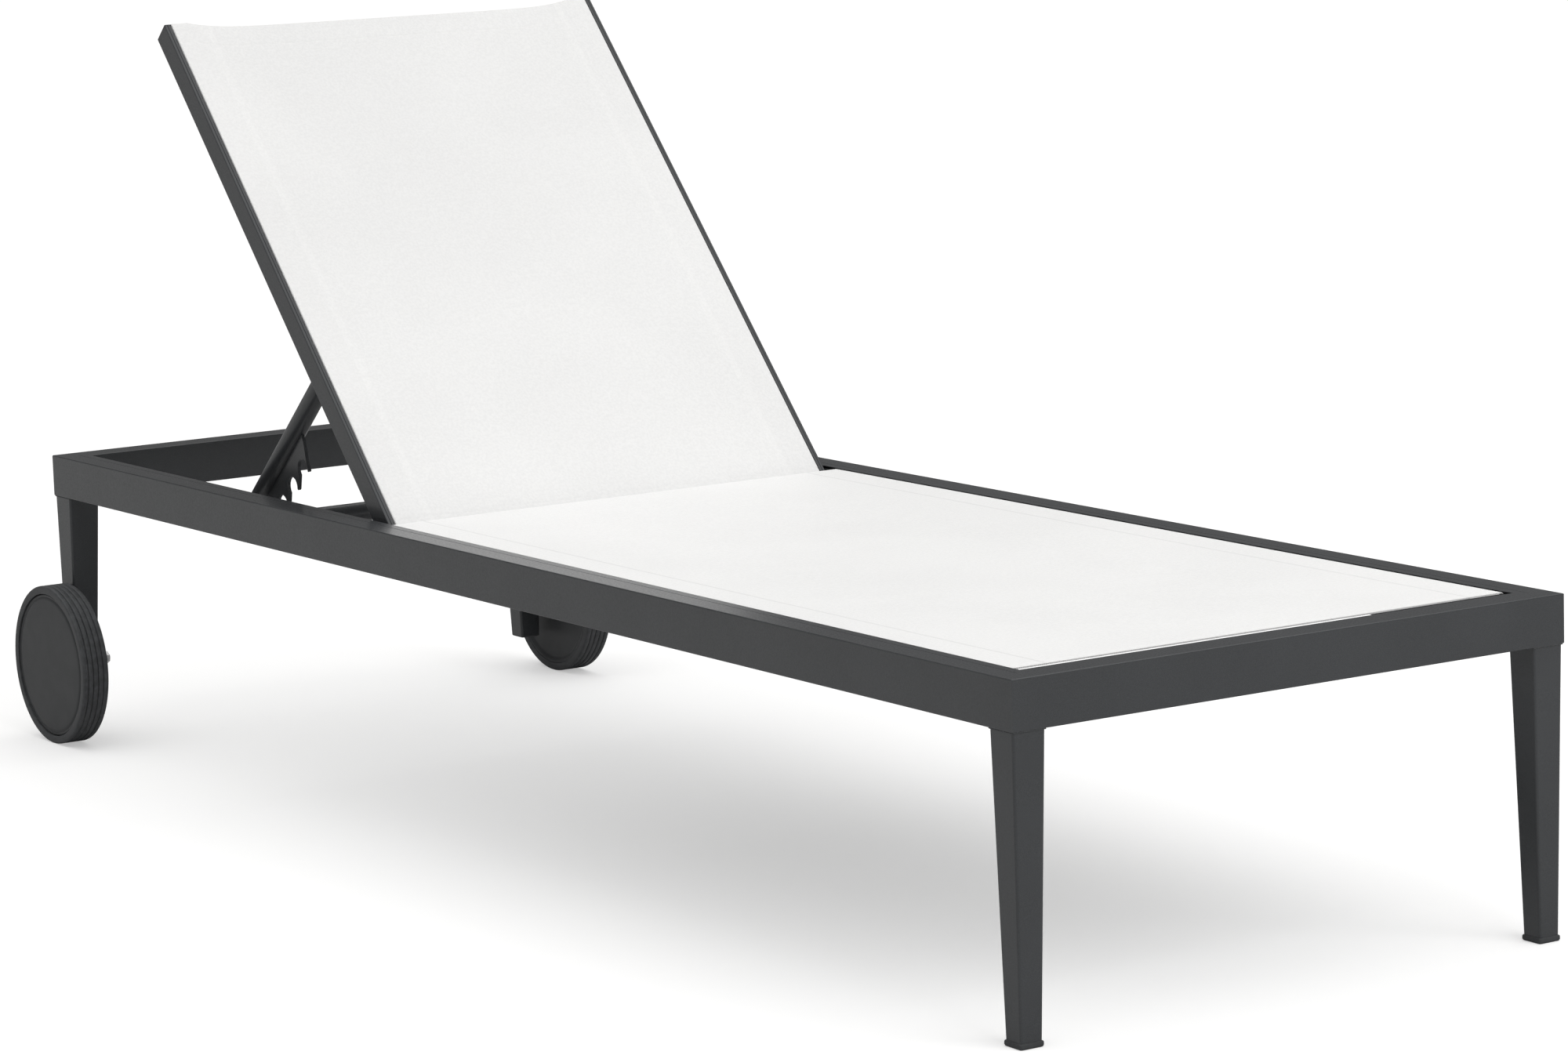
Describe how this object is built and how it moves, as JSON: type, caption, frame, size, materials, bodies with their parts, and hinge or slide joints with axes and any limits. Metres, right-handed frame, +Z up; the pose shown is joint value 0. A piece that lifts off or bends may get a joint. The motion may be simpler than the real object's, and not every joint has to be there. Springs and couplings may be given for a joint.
{
  "type": "reclining sun lounger",
  "caption": "Sling sun lounger: box-section frame on tapered legs and transport wheels, with a reclining backrest held by a notched prop.",
  "frame": {"origin": "on the ground under the middle of the whole lounger", "axes": "+Z up, +Y towards the head end, +X to the sitter's left"},
  "size_m": [0.753, 2.065, 0.8873],
  "materials": {
    "powder_coated_aluminium": "charcoal fine-textured powder coat, satin",
    "sling_fabric": "white coated mesh sling fabric",
    "cap_plastic": "charcoal moulded plastic",
    "spline_plastic": "dark extruded spline",
    "bearing_nylon": "black nylon",
    "plated_steel": "zinc plated steel",
    "wheel_plastic": "charcoal moulded plastic, satin",
    "tread_rubber": "charcoal soft plastic tread"
  },
  "bodies": {
    "frame": {"side_rail_left": "powder_coated_aluminium", "side_rail_right": "powder_coated_aluminium", "foot_rail": "powder_coated_aluminium", "head_rail": "powder_coated_aluminium", "seat_spreader": "powder_coated_aluminium", "prop_rest_tube": "powder_coated_aluminium", "leg_front_left": "powder_coated_aluminium", "leg_front_right": "powder_coated_aluminium", "leg_rear_left": "powder_coated_aluminium", "leg_rear_right": "powder_coated_aluminium", "foot_caps": "cap_plastic", "rear_leg_plugs": "cap_plastic", "axle_bosses": "powder_coated_aluminium", "axle_bolts": "plated_steel", "axle_nuts": "plated_steel", "axle_washers": "plated_steel", "axle_spacers": "bearing_nylon", "seat_sling": "sling_fabric", "seat_splines": "spline_plastic", "hinge_studs": "plated_steel", "hinge_rivet_nuts": "plated_steel", "hinge_spacers": "bearing_nylon"},
    "backrest": {"stile_left": "powder_coated_aluminium", "stile_right": "powder_coated_aluminium", "backrest_top_bar": "powder_coated_aluminium", "backrest_lower_bar": "powder_coated_aluminium", "backrest_sling": "sling_fabric", "back_splines": "spline_plastic", "stile_top_caps": "cap_plastic", "stile_bottom_caps": "cap_plastic", "hinge_bushes": "bearing_nylon", "prop_pivot_pins": "plated_steel", "prop_washers": "bearing_nylon"},
    "prop": {"prop_top_tube": "powder_coated_aluminium", "prop_arm_left": "powder_coated_aluminium", "prop_arm_right": "powder_coated_aluminium", "prop_plate_left": "powder_coated_aluminium", "prop_plate_right": "powder_coated_aluminium", "prop_arm_plugs": "cap_plastic", "prop_tube_inserts": "bearing_nylon"},
    "wheel_left": {"wheel_tread_left": "tread_rubber", "wheel_body_left": "wheel_plastic", "wheel_cover_left": "wheel_plastic", "wheel_bush_left": "bearing_nylon"},
    "wheel_right": {"wheel_tread_right": "tread_rubber", "wheel_body_right": "wheel_plastic", "wheel_cover_right": "wheel_plastic", "wheel_bush_right": "bearing_nylon"}
  },
  "joints": [
    {"name": "backrest_recline", "type": "hinge", "parent": "frame", "child": "backrest", "pos_m": [0, 0.2125, 0.335], "axis": [1, 0, 0], "range_deg": [-45.1, 0]},
    {"name": "prop_fold", "type": "hinge", "parent": "backrest", "child": "prop", "pos_m": [0, 0.3865, 0.51871], "axis": [1, 0, 0], "range_deg": [0, 85.99]},
    {"name": "wheel_left_spin", "type": "hinge", "parent": "frame", "child": "wheel_left", "pos_m": [0.3595, 0.9345, 0.098], "axis": [1, 0, 0], "continuous": true},
    {"name": "wheel_right_spin", "type": "hinge", "parent": "frame", "child": "wheel_right", "pos_m": [-0.3595, 0.9345, 0.098], "axis": [1, 0, 0], "continuous": true}
  ],
  "couplings": [
    {"joint": "prop_fold", "follows": "backrest_recline", "ratio": -1.9}
  ]
}
